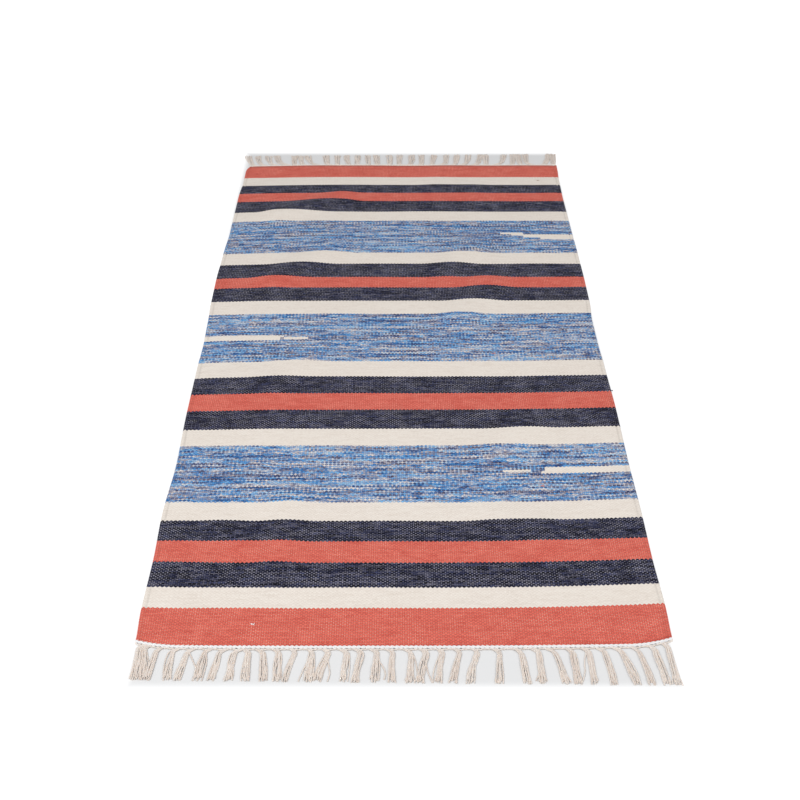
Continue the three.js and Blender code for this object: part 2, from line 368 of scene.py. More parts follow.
class Graph:
    """Writes a shader or geometry node tree, node by node."""

    def __init__(self, tree: bpy.types.NodeTree) -> None:
        """Starts on a tree that may already hold nodes."""
        self.tree = tree

    def add(
        self, kind: str, inputs: dict[str | int, object] | None = None, **settings: object
    ) -> bpy.types.Node:
        """Adds one node.

        Args:
            kind: the node's type name.
            inputs: values or output sockets, by the input's name or number.
            settings: the node's own properties.

        Returns:
            The new node.
        """
        node = self.tree.nodes.new(kind)
        for name, value in settings.items():
            setattr(node, name, value)
        for key, value in (inputs or {}).items():
            self.feed(node.inputs[key], value)
        return node

    def feed(self, socket: Socket, value: object) -> None:
        """Links an output socket to an input, or sets the input's own value."""
        if isinstance(value, Socket):
            self.tree.links.new(value, socket)
        else:
            socket.default_value = value

    def math(self, operation: str, *values: object) -> Socket:
        """Adds a Math node and returns its output."""
        return self.add("ShaderNodeMath", dict(enumerate(values)), operation=operation).outputs[0]

    def remap(
        self, value: Socket, low: float, high: float, to_low: float = 0.0, to_high: float = 1.0
    ) -> Socket:
        """Maps a value smoothly from one range to another, held at both ends.

        Args:
            value: the value's socket.
            low: where the first range starts.
            high: where the first range ends.
            to_low: what low becomes.
            to_high: what high becomes.

        Returns:
            The mapped value's socket.
        """
        inputs = {0: value, 1: low, 2: high, 3: to_low, 4: to_high}
        return self.add("ShaderNodeMapRange", inputs, interpolation_type="SMOOTHSTEP").outputs[0]

    def blend(self, factor: object, first: object, second: object, mode: str = "MIX") -> Socket:
        """Mixes two colours.

        Args:
            factor: share of the second colour.
            first: the colour below.
            second: the colour above.
            mode: the way to mix them.

        Returns:
            The mixed colour's socket.
        """
        node = self.add("ShaderNodeMix", data_type="RGBA", blend_type=mode)
        sockets = {socket.identifier: socket for socket in node.inputs}
        self.feed(sockets["Factor_Float"], factor)
        self.feed(sockets["A_Color"], first)
        self.feed(sockets["B_Color"], second)
        return next(socket for socket in node.outputs if socket.identifier == "Result_Color")

    def ramp(self, factor: Socket, shades: Shades) -> Socket:
        """Adds a colour ramp.

        Args:
            factor: the value that picks a shade.
            shades: each shade's place from 0 to 1, and its colour.

        Returns:
            The shade's socket.
        """
        node = self.add("ShaderNodeValToRGB", {0: factor})
        stops = node.color_ramp.elements
        while len(stops) < len(shades):
            stops.new(1.0)
        for stop, (place, colour) in zip(stops, shades):
            stop.position = place
            stop.color = linear(colour)
        return node.outputs[0]


def new_group(
    name: str, kind: str, inputs: dict[str, str], outputs: dict[str, str]
) -> tuple[Graph, dict[str, Socket], dict[str, Socket]]:
    """Starts a node group with named sockets.

    Args:
        name: the group's name.
        kind: the tree's type name.
        inputs: each input's name and socket type.
        outputs: each output's name and socket type.

    Returns:
        The group's graph, its inputs as sockets to link from, and its outputs as sockets to link to.
    """
    tree = bpy.data.node_groups.new(name, kind)
    for label, socket_type in inputs.items():
        tree.interface.new_socket(label, in_out="INPUT", socket_type=socket_type)
    for label, socket_type in outputs.items():
        tree.interface.new_socket(label, in_out="OUTPUT", socket_type=socket_type)
    graph = Graph(tree)
    start = graph.add("NodeGroupInput")
    stop = graph.add("NodeGroupOutput")
    given = {label: start.outputs[label] for label in inputs}
    made = {label: stop.inputs[label] for label in outputs}
    return graph, given, made


def fibre_group() -> bpy.types.NodeTree:
    """Builds the effect of short cotton fibres, which every yarn has.

    Returns:
        A shader group that turns a place into a tint around 1 and a height for bump.
    """
    graph, given, made = new_group(
        "Cotton fibres",
        "ShaderNodeTree",
        {"Place": "NodeSocketVector", "Scale": "NodeSocketFloat"},
        {"Tint": "NodeSocketFloat", "Height": "NodeSocketFloat"},
    )
    fine = {"Vector": given["Place"], "Scale": given["Scale"], "Detail": 3.0, "Roughness": 0.6}
    fuzz = graph.add("ShaderNodeTexNoise", fine).outputs["Fac"]
    graph.feed(made["Tint"], graph.remap(fuzz, 0.3, 0.7, 0.94, 1.05))
    graph.feed(made["Height"], fuzz)
    return graph.tree


def streak_group() -> bpy.types.NodeTree:
    """Builds the uneven tone of spun weft, which runs in streaks and short dashes along its pick.

    Returns:
        A shader group that turns a place in the weave and its float's crown into a tone from 0 to 1.
    """
    graph, given, made = new_group(
        "Weft streaks",
        "ShaderNodeTree",
        {
            "Weave": "NodeSocketVector",
            "Crown": "NodeSocketVector",
            "Shift": "NodeSocketFloat",
            "Row Share": "NodeSocketFloat",
        },
        {"Tone": "NodeSocketFloat"},
    )
    place = graph.add("ShaderNodeSeparateXYZ", {0: given["Weave"]})
    crown = graph.add("ShaderNodeSeparateXYZ", {0: given["Crown"]})
    shifted = {0: given["Crown"], 1: given["Shift"]}
    shifted = graph.add("ShaderNodeVectorMath", shifted, operation="ADD").outputs[0]
    spot = graph.add("ShaderNodeTexWhiteNoise", {"Vector": shifted}, noise_dimensions="2D").outputs["Value"]
    tone = graph.math("MULTIPLY", spot, 0.4)
    # Each run: a place across and its scale, a place along and its scale, and the run's share of the tone
    runs = (
        (crown.outputs["X"], 0.06, crown.outputs["Y"], 7.31, 0.5),
        (place.outputs["X"], 0.17, place.outputs["Y"], 3.4, 0.9),
        (place.outputs["X"], 0.014, crown.outputs["Y"], 5.17, given["Row Share"]),
    )
    for warp, warp_scale, pick, pick_scale, share in runs:
        across = graph.math("MULTIPLY_ADD", warp, warp_scale, given["Shift"])
        along = graph.math("MULTIPLY_ADD", pick, pick_scale, given["Shift"])
        where = graph.add("ShaderNodeCombineXYZ", {0: across, 1: along}).outputs[0]
        noise = {"Vector": where, "Scale": 1.0, "Detail": 1.0}
        noise = graph.add("ShaderNodeTexNoise", noise, noise_dimensions="2D").outputs["Fac"]
        tone = graph.math("MULTIPLY_ADD", graph.remap(noise, 0.25, 0.75), share, tone)
    spare = graph.math("MULTIPLY_ADD", given["Row Share"], -0.5, tone)
    graph.feed(made["Tone"], graph.remap(spare, 0.25, 1.55))
    return graph.tree


def weave_group(streaks: bpy.types.NodeTree) -> bpy.types.NodeTree:
    """Builds the effect of a plain weave, from a place in warps, picks and warps to the nearest selvedge.

    A float's crown lies where warp and pick add up to an even number, and the gaps between four floats where
    they add up to an odd one.

    Args:
        streaks: the group for the weft's tone.

    Returns:
        A shader group with the float's dome, the crevice round it, the gap at its corners, the groove along
        the selvedge, the float's tone, and which of two strands shows. The crevice and the groove are masks for
        painted shade.
    """
    graph, given, made = new_group(
        "Weave cells",
        "ShaderNodeTree",
        {"Weave": "NodeSocketVector", "Row Share": "NodeSocketFloat"},
        {name: "NodeSocketFloat" for name in ("Dome", "Crevice", "Gap", "Groove", "Tone", "Strand")},
    )
    place = graph.add("ShaderNodeSeparateXYZ", {0: given["Weave"]})
    sides, cells = [], []
    for operation in ("ADD", "SUBTRACT"):
        sum_or_rest = graph.math(operation, place.outputs["X"], place.outputs["Y"])
        diagonal = graph.math("MULTIPLY_ADD", sum_or_rest, 0.5, 0.5)
        sides.append(graph.math("PINGPONG", diagonal, 0.5))
        cells.append(graph.math("FLOOR", diagonal))
    nearest = graph.math("MINIMUM", *sides)
    farthest = graph.math("MAXIMUM", *sides)
    graph.feed(made["Dome"], graph.math("SQRT", graph.math("MULTIPLY", nearest, 2.0)))
    graph.feed(made["Crevice"], graph.remap(nearest, 0.0, 0.2, 1.0, 0.0))
    graph.feed(made["Gap"], graph.remap(farthest, 0.08, 0.28, 1.0, 0.0))
    # Groove: a mask two warps in from each selvedge, where the yarns are darkened as painted shade.
    beside = graph.math("ABSOLUTE", graph.math("SUBTRACT", place.outputs["Z"], 2.0))
    graph.feed(made["Groove"], graph.remap(beside, 0.0, 0.9, 1.0, 0.0))
    crown = {0: graph.math("ADD", *cells), 1: graph.math("SUBTRACT", *cells)}
    crown = graph.add("ShaderNodeCombineXYZ", crown).outputs[0]
    for name, shift in (("Tone", 0.0), ("Strand", 53.7)):
        tone = graph.add("ShaderNodeGroup", node_tree=streaks)
        graph.feed(tone.inputs["Weave"], given["Weave"])
        graph.feed(tone.inputs["Crown"], crown)
        graph.feed(tone.inputs["Shift"], shift)
        graph.feed(tone.inputs["Row Share"], given["Row Share"])
        graph.feed(made[name], tone.outputs["Tone"])
    return graph.tree


@dataclass(frozen=True)
class DyedYarn:
    """The finish of one dyed weft.

    Attributes:
        name: the material's name.
        shades: the yarn's shades, from its darkest floats to its palest.
        gap: the colour that shows in the gaps between floats.
        gap_share: how strongly the gap's colour shows.
        crevice_shade_share: how much painted shade darkens the crevices round a float.
        row_share: how much one pick's tone differs from the next one's.
        selvedge_shade_share: how much painted shade darkens the groove beside the selvedge.
        patch_scale: how many patches of wider gaps lie on a metre.
        second: the shades of a second strand that is spun in, or none.
    """

    name: str
    shades: Shades
    gap: Colour
    gap_share: float
    crevice_shade_share: float
    row_share: float = 0.0
    selvedge_shade_share: float = 0.14
    patch_scale: float = 28.0
    second: Shades = ()

    def material(self, weave: bpy.types.NodeTree, fibres: bpy.types.NodeTree) -> bpy.types.Material:
        """Builds the yarn's material for the web.

        Args:
            weave: the group for the weave's cells.
            fibres: the group for cotton fibres.

        Returns:
            The new material.
        """
        material = bpy.data.materials.new(self.name)
        material.use_nodes = True
        graph = Graph(material.node_tree)
        shader = material.node_tree.nodes["Principled BSDF"]
        counted = graph.add("ShaderNodeAttribute", attribute_name=WEAVE_ATTRIBUTE).outputs["Vector"]
        place = graph.add("ShaderNodeTexCoord").outputs["Object"]
        cells = graph.add("ShaderNodeGroup", node_tree=weave)
        graph.feed(cells.inputs["Weave"], counted)
        graph.feed(cells.inputs["Row Share"], self.row_share)
        fuzz = graph.add("ShaderNodeGroup", node_tree=fibres)
        graph.feed(fuzz.inputs["Place"], place)
        graph.feed(fuzz.inputs["Scale"], FIBRE_SCALE)

        dyed = graph.ramp(cells.outputs["Tone"], self.shades)
        if self.second:
            other = graph.ramp(cells.outputs["Tone"], self.second)
            dyed = graph.blend(graph.remap(cells.outputs["Strand"], 0.44, 0.6), dyed, other)
        dyed = graph.blend(1.0, dyed, fuzz.outputs["Tint"], "MULTIPLY")
        # Painted shade: the crevices round each float and the groove beside each selvedge are darkened towards
        # black.
        shadow = graph.math("MULTIPLY", cells.outputs["Crevice"], self.crevice_shade_share)
        groove = graph.math("MULTIPLY", cells.outputs["Groove"], self.selvedge_shade_share)
        shadow = graph.math("MAXIMUM", shadow, groove)
        shaded = graph.blend(shadow, dyed, (0.0, 0.0, 0.0, 1.0))
        patches = {"Vector": place, "Scale": self.patch_scale, "Detail": 2.0}
        patches = graph.add("ShaderNodeTexNoise", patches).outputs["Fac"]
        opening = graph.math("MULTIPLY_ADD", cells.outputs["Strand"], 0.5, patches)
        open_share = graph.remap(opening, 0.55, 1.0, 0.1 * self.gap_share, self.gap_share)
        shown = graph.math("MULTIPLY", cells.outputs["Gap"], open_share)
        colour = graph.blend(shown, shaded, linear(self.gap))

        height = graph.math("MULTIPLY_ADD", fuzz.outputs["Height"], 0.35, cells.outputs["Dome"])
        bump = graph.add("ShaderNodeBump", {"Height": height, "Strength": 0.5, "Distance": 0.6 * MM})
        graph.feed(shader.inputs["Base Color"], colour)
        graph.feed(shader.inputs["Normal"], bump.outputs["Normal"])
        shader.inputs["Roughness"].default_value = 0.95
        shader.inputs["Specular IOR Level"].default_value = 0.08
        shader.inputs["Sheen Weight"].default_value = 0.03
        shader.inputs["Sheen Roughness"].default_value = 0.6
        return material


@dataclass(frozen=True)
class PliedYarn:
    """The finish of a plied yarn outside the web, such as the fringe's warps or the twined cord.

    Attributes:
        name: the material's name.
        shades: the yarn's shades, by the tone that each yarn has.
        groove: the colour of the painted shade in the groove between its plies.
        ply_shade_share: how strongly that painted shade shows.
    """

    name: str
    shades: Shades
    groove: Colour = (172, 144, 122)
    ply_shade_share: float = 0.24

    def material(self, fibres: bpy.types.NodeTree) -> bpy.types.Material:
        """Builds the yarn's material.

        Args:
            fibres: the group for cotton fibres.

        Returns:
            The new material.
        """
        material = bpy.data.materials.new(self.name)
        material.use_nodes = True
        graph = Graph(material.node_tree)
        shader = material.node_tree.nodes["Principled BSDF"]
        tone = graph.add("ShaderNodeAttribute", attribute_name=TONE_ATTRIBUTE).outputs["Fac"]
        place = graph.add("ShaderNodeTexCoord").outputs["Object"]
        fuzz = graph.add("ShaderNodeGroup", node_tree=fibres)
        graph.feed(fuzz.inputs["Place"], place)
        graph.feed(fuzz.inputs["Scale"], FIBRE_SCALE)
        spun = graph.blend(1.0, graph.ramp(tone, self.shades), fuzz.outputs["Tint"], "MULTIPLY")
        ply = graph.add("ShaderNodeAttribute", attribute_name=PLY_ATTRIBUTE).outputs["Fac"]
        groove = graph.remap(ply, 0.72, 1.0)
        # Painted shade in the grooves between the plies; the same groove mask also drives the bump.
        colour = graph.blend(graph.math("MULTIPLY", groove, self.ply_shade_share), spun, linear(self.groove))
        height = graph.math("MULTIPLY_ADD", groove, -1.0, fuzz.outputs["Height"])
        bump = graph.add("ShaderNodeBump", {"Height": height, "Strength": 0.4, "Distance": 0.4 * MM})
        graph.feed(shader.inputs["Base Color"], colour)
        graph.feed(shader.inputs["Normal"], bump.outputs["Normal"])
        shader.inputs["Roughness"].default_value = 0.9
        shader.inputs["Specular IOR Level"].default_value = 0.2
        shader.inputs["Sheen Weight"].default_value = 0.1
        shader.inputs["Sheen Roughness"].default_value = 0.5
        shader.inputs["Subsurface Weight"].default_value = 0.2
        shader.inputs["Subsurface Radius"].default_value = (1.0, 0.85, 0.7)
        shader.inputs["Subsurface Scale"].default_value = 1.0 * MM
        return material


YARN_FINISHES = {
    Yarn.CORAL: DyedYarn(
        "coral_weft",
        ((0.0, (205, 90, 77)), (0.5, (217, 103, 89)), (1.0, (229, 115, 99))),
        gap=(252, 196, 174),
        gap_share=0.68,
        crevice_shade_share=0.5,
    ),
    # The cream's gap colour is darker than both the cream and the ecru warp: painted shade in the holes between
    # floats.
    Yarn.CREAM: DyedYarn(
        "cream_weft",
        ((0.0, (218, 208, 197)), (0.3, (225, 215, 205)), (1.0, (229, 221, 211))),
        gap=(204, 188, 174),
        gap_share=0.2,
        crevice_shade_share=0.05,
    ),
    Yarn.NAVY: DyedYarn(
        "navy_weft",
        ((0.0, (6, 6, 22)), (0.5, (26, 28, 56)), (1.0, (66, 71, 104))),
        gap=(184, 182, 196),
        gap_share=0.78,
        crevice_shade_share=0.6,
        row_share=0.15,
        second=((0.0, (10, 9, 15)), (0.5, (35, 33, 42)), (1.0, (108, 105, 118))),
    ),
    Yarn.BLUE: DyedYarn(
        "blue_mixture_weft",
        ((0.0, (32, 60, 112)), (0.35, (50, 122, 196)), (0.65, (86, 162, 224)), (1.0, (148, 194, 226))),
        gap=(218, 214, 215),
        gap_share=0.58,
        crevice_shade_share=0.54,
        row_share=0.6,
        second=((0.0, (58, 56, 85)), (0.35, (126, 121, 143)), (0.65, (198, 190, 192)), (1.0, (228, 219, 214))),
    ),
}

WARP_FINISH = PliedYarn(
    "ecru_warp_yarn", ((0.0, (224, 211, 201)), (0.5, (230, 218, 208)), (1.0, (234, 224, 215)))
)
# Both cords are one white yarn; the far cord's copy is painted warmer, for the warmer light at the far end.
CORD_FINISHES = {
    End.NEAR: PliedYarn("near_cord_yarn", ((0.0, (222, 221, 221)), (1.0, (238, 237, 237)))),
    End.FAR: PliedYarn("far_cord_yarn_painted_warm", ((0.0, (222, 213, 204)), (1.0, (236, 227, 218)))),
}

FIBRE_FINISHES = {
    Fibre.WHITE: PliedYarn("white_stray_fibre", ((0.0, (234, 230, 228)), (1.0, (246, 244, 242)))),
    Fibre.CORAL: PliedYarn("coral_stray_fibre", ((0.0, (196, 104, 90)), (1.0, (222, 128, 112)))),
    Fibre.BROWN: PliedYarn("brown_stray_fibre", ((0.0, (120, 96, 78)), (1.0, (164, 138, 116)))),
    Fibre.NAVY: PliedYarn("navy_stray_fibre", ((0.0, (28, 30, 52)), (1.0, (64, 68, 96)))),
}


@dataclass(frozen=True)
class Drape:
    """How the woven web lies on the floor: its uneven edges, drifting wefts and low ripples.

    Attributes:
        width: the web's width from selvedge to selvedge.
        length: its length along the warp.
        left_start: share of the half width at which the weft starts to drift on the left.
        right_start: the same on the right.
        power: how sharply the drift sets in.
        corner_across: how far a drawn-in corner reaches along the weft.
        corner_along: how far it reaches along the warp.
    """

    width: float = 700 * MM
    length: float = sum(stripe.width for stripe in STRIPES) * MM
    left_start: float = 0.4
    right_start: float = 0.15
    power: float = 1.9
    corner_across: float = 60 * MM
    corner_along: float = 70 * MM

    def station(self, column: str, along: np.ndarray) -> np.ndarray:
        """Reads a column of the stations between its rows.

        Args:
            column: the column's name.
            along: distances along the warp.

        Returns:
            The column's value at each distance, in metres.
        """
        rows = np.array([station.along for station in STATIONS]) * MM
        values = np.array([getattr(station, column) for station in STATIONS]) * MM
        low = np.clip(np.searchsorted(rows, along) - 1, 0, len(rows) - 2)
        share = np.clip((along - rows[low]) / (rows[low + 1] - rows[low]), 0, 1)
        return values[low] + (values[low + 1] - values[low]) * share * share * (3 - 2 * share)

    def plan(self, side: np.ndarray, along: np.ndarray) -> tuple[np.ndarray, np.ndarray]:
        """Finds where points of the web lie, seen from above.

        Args:
            side: from -1 at the left selvedge to 1 at the right one.
            along: distances along the warp from the near end.

        Returns:
            The points' X and Y.
        """
        left = side < 0
        out = np.where(left, self.station("left_out", along), self.station("right_out", along))
        drift = np.where(left, self.station("left_drift", along), self.station("right_drift", along))
        start = np.where(left, self.left_start, self.right_start)
        share = np.maximum(0, (np.abs(side) - start) / (1 - start))
        x = side * (self.width / 2 + out * side * side)
        y = along - self.length / 2 + drift * share**self.power
        for corner in CORNERS:
            inward = (1 - corner.selvedge.value * side) * self.width / 2 / self.corner_across
            from_end = along if corner.end is End.NEAR else self.length - along
            near = np.maximum(0, 1 - inward) ** 2 * np.maximum(0, 1 - from_end / self.corner_along)
            y = y - corner.end.value * corner.pull * MM * near
        return x, y

    def lift(self, x: np.ndarray, y: np.ndarray) -> np.ndarray:
        """Finds how high the web's underside stands above the floor.

        Args:
            x: places along the weft.
            y: places along the warp.

        Returns:
            The heights.
        """
        height = np.zeros_like(x)
        for ripple in RIPPLES:
            start = np.array([ripple.across * MM, ripple.along * MM - self.length / 2])
            run = np.array([ripple.across_end * MM, ripple.along_end * MM - self.length / 2]) - start
            share = np.clip(((x - start[0]) * run[0] + (y - start[1]) * run[1]) / (run @ run), 0, 1)
            away = np.hypot(x - start[0] - share * run[0], y - start[1] - share * run[1])
            flank = np.minimum(1, away / (ripple.reach * MM))
            height += ripple.height * MM * (0.5 + 0.5 * np.cos(np.pi * flank))
        return height

    def edge(self, end: End, count: int = 200) -> tuple[np.ndarray, np.ndarray]:
        """Finds the line of the web's last weft at one end.

        Args:
            end: which end.
            count: how many spans the line has.

        Returns:
            The line's X and Y, from the left selvedge to the right one.
        """
        side = np.linspace(-1, 1, count + 1)
        along = np.full_like(side, 0.0 if end is End.NEAR else self.length)
        return self.plan(side, along)


def new_piece(name: str, mesh: bpy.types.Mesh, slot: str, *nodes: str) -> bpy.types.Object:
    """Makes an object of a finished mesh and hands it to the frame.

    Args:
        name: the piece's name.
        mesh: its mesh, already in place.
        slot: the record's material slot; not used.
        nodes: the nodes that it stands for.

    Returns:
        The new object.
    """
    mesh.name = name
    piece = bpy.data.objects.new(name, mesh)
    bpy.context.scene.collection.objects.link(piece)
    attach(piece, BODY)
    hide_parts(*nodes)
    log.info("%s: %d faces", name, len(mesh.polygons))
    return piece


def grow(
    name: str, guides: list[np.ndarray], tree: bpy.types.NodeTree, values: dict[str, object]
) -> bpy.types.Mesh:
    """Runs a geometry node tree along guide lines and keeps the result as a plain mesh.

    Args:
        name: a name for the work object.
        guides: the points of each line, in order.
        tree: the geometry node tree.
        values: the tree's inputs, by their names.

    Returns:
        The evaluated mesh.
    """
    points = np.concatenate(guides)
    starts = np.cumsum([0] + [len(guide) for guide in guides])
    edges = [(k, k + 1) for low, high in zip(starts, starts[1:]) for k in range(low, high - 1)]
    lines = bpy.data.meshes.new(name + "_guides")
    lines.from_pydata(points.tolist(), edges, [])
    work = bpy.data.objects.new(name + "_guides", lines)
    bpy.context.scene.collection.objects.link(work)
    modifier = work.modifiers.new("grow", "NODES")
    modifier.node_group = tree
    sockets = {item.name: item.identifier for item in tree.interface.items_tree if item.in_out == "INPUT"}
    for label, value in values.items():
        modifier[sockets[label]] = value
    bpy.context.view_layer.update()
    evaluated = work.evaluated_get(bpy.context.evaluated_depsgraph_get())
    mesh = bpy.data.meshes.new_from_object(evaluated)
    work.modifiers.remove(modifier)
    bpy.data.objects.remove(work)
    bpy.data.meshes.remove(lines)
    return mesh


def finish_strands(graph: Graph, strands: Socket, material: Socket, out: Socket) -> None:
    """Ends a geometry tree with smooth, realized strands in their material.

    Args:
        graph: the tree's graph.
        strands: the mesh to finish.
        material: the material's socket.
        out: the tree's output.
    """
    smooth = graph.add("GeometryNodeSetShadeSmooth", {"Geometry": strands}).outputs["Geometry"]
    real = graph.add("GeometryNodeRealizeInstances", {"Geometry": smooth}).outputs["Geometry"]
    dressed = graph.add("GeometryNodeSetMaterial", {"Geometry": real, "Material": material})
    graph.feed(out, dressed.outputs["Geometry"])


def twist_tree() -> bpy.types.NodeTree:
    """Builds the tree that twists two strands round each other along a guide line.

    Returns:
        A geometry node tree with the strands' sizes as inputs.
    """
    graph, given, made = new_group(
        "Two strand twist",
        "GeometryNodeTree",
        {
            "Guides": "NodeSocketGeometry",
            "Strand Radius": "NodeSocketFloat",
            "Twist Width": "NodeSocketFloat",
            "Twist Height": "NodeSocketFloat",
            "Turn Length": "NodeSocketFloat",
            "Point Spacing": "NodeSocketFloat",
            "Material": "NodeSocketMaterial",
        },
        {"Strands": "NodeSocketGeometry"},
    )
    line = graph.add("GeometryNodeMeshToCurve", {"Mesh": given["Guides"]}).outputs["Curve"]
    even = {"Curve": line, "Length": given["Point Spacing"]}
    line = graph.add("GeometryNodeResampleCurve", even, mode="LENGTH").outputs["Curve"]
    length = graph.add("GeometryNodeSplineParameter").outputs["Length"]
    turns = graph.math("DIVIDE", length, given["Turn Length"])
    profile = graph.add("GeometryNodeCurvePrimitiveCircle", {"Resolution": 8, "Radius": given["Strand Radius"]})
    both = graph.add("GeometryNodeJoinGeometry")
    for phase in (0.0, 0.5):
        angle = graph.math("MULTIPLY", graph.math("ADD", turns, phase), math.tau)
        across = graph.math("MULTIPLY", graph.math("COSINE", angle), given["Twist Width"])
        rise = graph.math("MULTIPLY", graph.math("SINE", angle), given["Twist Height"])
        offset = graph.add("ShaderNodeCombineXYZ", {"Y": across, "Z": rise}).outputs["Vector"]
        strand = graph.add("GeometryNodeSetPosition", {"Geometry": line, "Offset": offset}).outputs["Geometry"]
        skin = {"Curve": strand, "Profile Curve": profile.outputs["Curve"], "Fill Caps": True}
        graph.feed(both.inputs["Geometry"], graph.add("GeometryNodeCurveToMesh", skin).outputs["Mesh"])
    tone = {"Geometry": both.outputs["Geometry"], "Name": TONE_ATTRIBUTE, "Value": 0.5}
    toned = graph.add("GeometryNodeStoreNamedAttribute", tone, data_type="FLOAT", domain="POINT")
    finish_strands(graph, toned.outputs["Geometry"], given["Material"], made["Strands"])
    return graph.tree


def plied_yarn_tree() -> bpy.types.NodeTree:
    """Builds the tree that turns each guide line into a loose two-ply yarn.

    Returns:
        A geometry node tree with the yarn's sizes and seed as inputs.
    """
    graph, given, made = new_group(
        "Two ply yarns",
        "GeometryNodeTree",
        {
            "Guides": "NodeSocketGeometry",
            "Yarn Radius": "NodeSocketFloat",
            "Ply Waist": "NodeSocketFloat",
            "Turn Length": "NodeSocketFloat",
            "Point Count": "NodeSocketInt",
            "Wobble": "NodeSocketFloat",
            "Seed": "NodeSocketInt",
            "Material": "NodeSocketMaterial",
        },
        {"Yarns": "NodeSocketGeometry"},
    )
    line = graph.add("GeometryNodeMeshToCurve", {"Mesh": given["Guides"]}).outputs["Curve"]
    even = {"Curve": line, "Count": given["Point Count"]}
    line = graph.add("GeometryNodeResampleCurve", even, mode="COUNT").outputs["Curve"]
    random = graph.add("FunctionNodeRandomValue", {"Seed": given["Seed"]}, data_type="FLOAT")
    tone = {"Geometry": line, "Name": TONE_ATTRIBUTE, "Value": random.outputs[1]}
    line = graph.add("GeometryNodeStoreNamedAttribute", tone, data_type="FLOAT", domain="CURVE")
    line = line.outputs["Geometry"]

    along = graph.add("GeometryNodeSplineParameter")
    own = graph.add("GeometryNodeInputNamedAttribute", {"Name": TONE_ATTRIBUTE}, data_type="FLOAT").outputs[0]
    noise = {
        "W": graph.math("MULTIPLY", own, 60.0),
        "Vector": graph.add("GeometryNodeInputPosition").outputs[0],
        "Scale": 55.0,
        "Detail": 1.0,
    }
    sway = graph.add("ShaderNodeTexNoise", noise, noise_dimensions="4D").outputs["Color"]
    shifted = graph.add("ShaderNodeVectorMath", {0: sway, 1: (0.5, 0.5, 0.5)}, operation="SUBTRACT")
    flat = graph.add("ShaderNodeVectorMath", {0: shifted.outputs[0], 1: (1.0, 1.0, 0.0)}, operation="MULTIPLY")
    loose = graph.math("MULTIPLY", along.outputs["Factor"], given["Wobble"])
    offset = graph.add("ShaderNodeVectorMath", {0: flat.outputs[0], "Scale": loose}, operation="SCALE")
    moved = {"Geometry": line, "Offset": offset.outputs[0]}
    line = graph.add("GeometryNodeSetPosition", moved).outputs["Geometry"]

    turns = graph.math("ADD", graph.math("DIVIDE", along.outputs["Length"], given["Turn Length"]), own)
    twist = {"Curve": line, "Tilt": graph.math("MULTIPLY", turns, math.tau)}
    line = graph.add("GeometryNodeSetCurveTilt", twist).outputs["Curve"]

    ring = graph.add("GeometryNodeCurvePrimitiveCircle", {"Resolution": 8, "Radius": given["Yarn Radius"]})
    place = graph.add("GeometryNodeInputPosition").outputs[0]
    # How far each point of the yarn's section lies to the side, for the ply grooves' bump and painted shade.
    aside = graph.math("ABSOLUTE", graph.add("ShaderNodeSeparateXYZ", {0: place}).outputs["Y"])
    groove = graph.math("DIVIDE", aside, given["Yarn Radius"])
    groove = {"Geometry": ring.outputs["Curve"], "Name": PLY_ATTRIBUTE, "Value": groove}
    ring = graph.add("GeometryNodeStoreNamedAttribute", groove, data_type="FLOAT", domain="POINT")
    squeeze = graph.add("ShaderNodeCombineXYZ", {"X": 1.0, "Y": given["Ply Waist"], "Z": 1.0}).outputs["Vector"]
    squeezed = graph.add("ShaderNodeVectorMath", {0: place, 1: squeeze}, operation="MULTIPLY").outputs[0]
    section = {"Geometry": ring.outputs["Geometry"], "Position": squeezed}
    profile = graph.add("GeometryNodeSetPosition", section).outputs["Geometry"]
    skin = {"Curve": line, "Profile Curve": profile, "Fill Caps": True}
    yarns = graph.add("GeometryNodeCurveToMesh", skin).outputs["Mesh"]
    finish_strands(graph, yarns, given["Material"], made["Yarns"])
    return graph.tree


